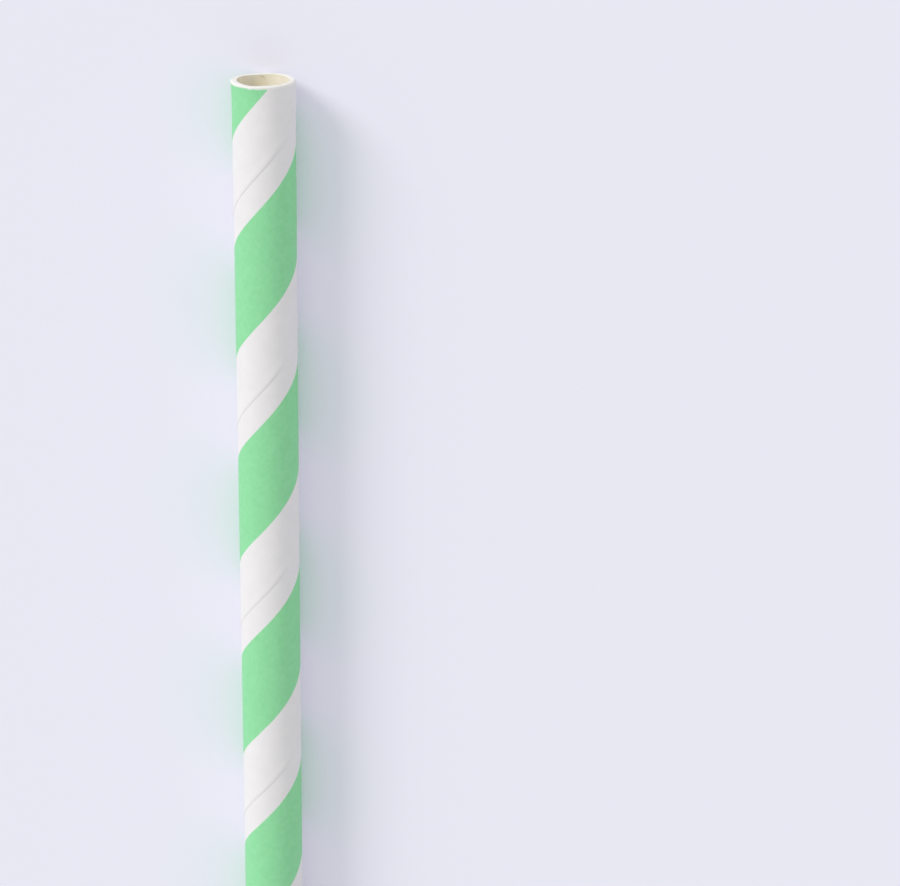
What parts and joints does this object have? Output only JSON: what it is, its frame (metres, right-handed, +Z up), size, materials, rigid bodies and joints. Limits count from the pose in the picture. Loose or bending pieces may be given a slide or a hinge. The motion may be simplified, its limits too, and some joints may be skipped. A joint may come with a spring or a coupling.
{
  "type": "paper drinking straw",
  "caption": "Straight paper drinking straw: a spiral-wound tube for sipping cold drinks, square-cut at both ends.",
  "frame": {"origin": "middle of the straw's length, on the surface that it lies on, straight below its axis", "axes": "+X along the straw towards its drinking end, +Z up from the surface it lies on"},
  "size_m": [0.197, 0.006, 0.006],
  "materials": {
    "striped_paper": "matt paper, mint green and white spiral stripes"
  },
  "bodies": {
    "root": {"straw_tube": "striped_paper"}
  },
  "joints": []
}
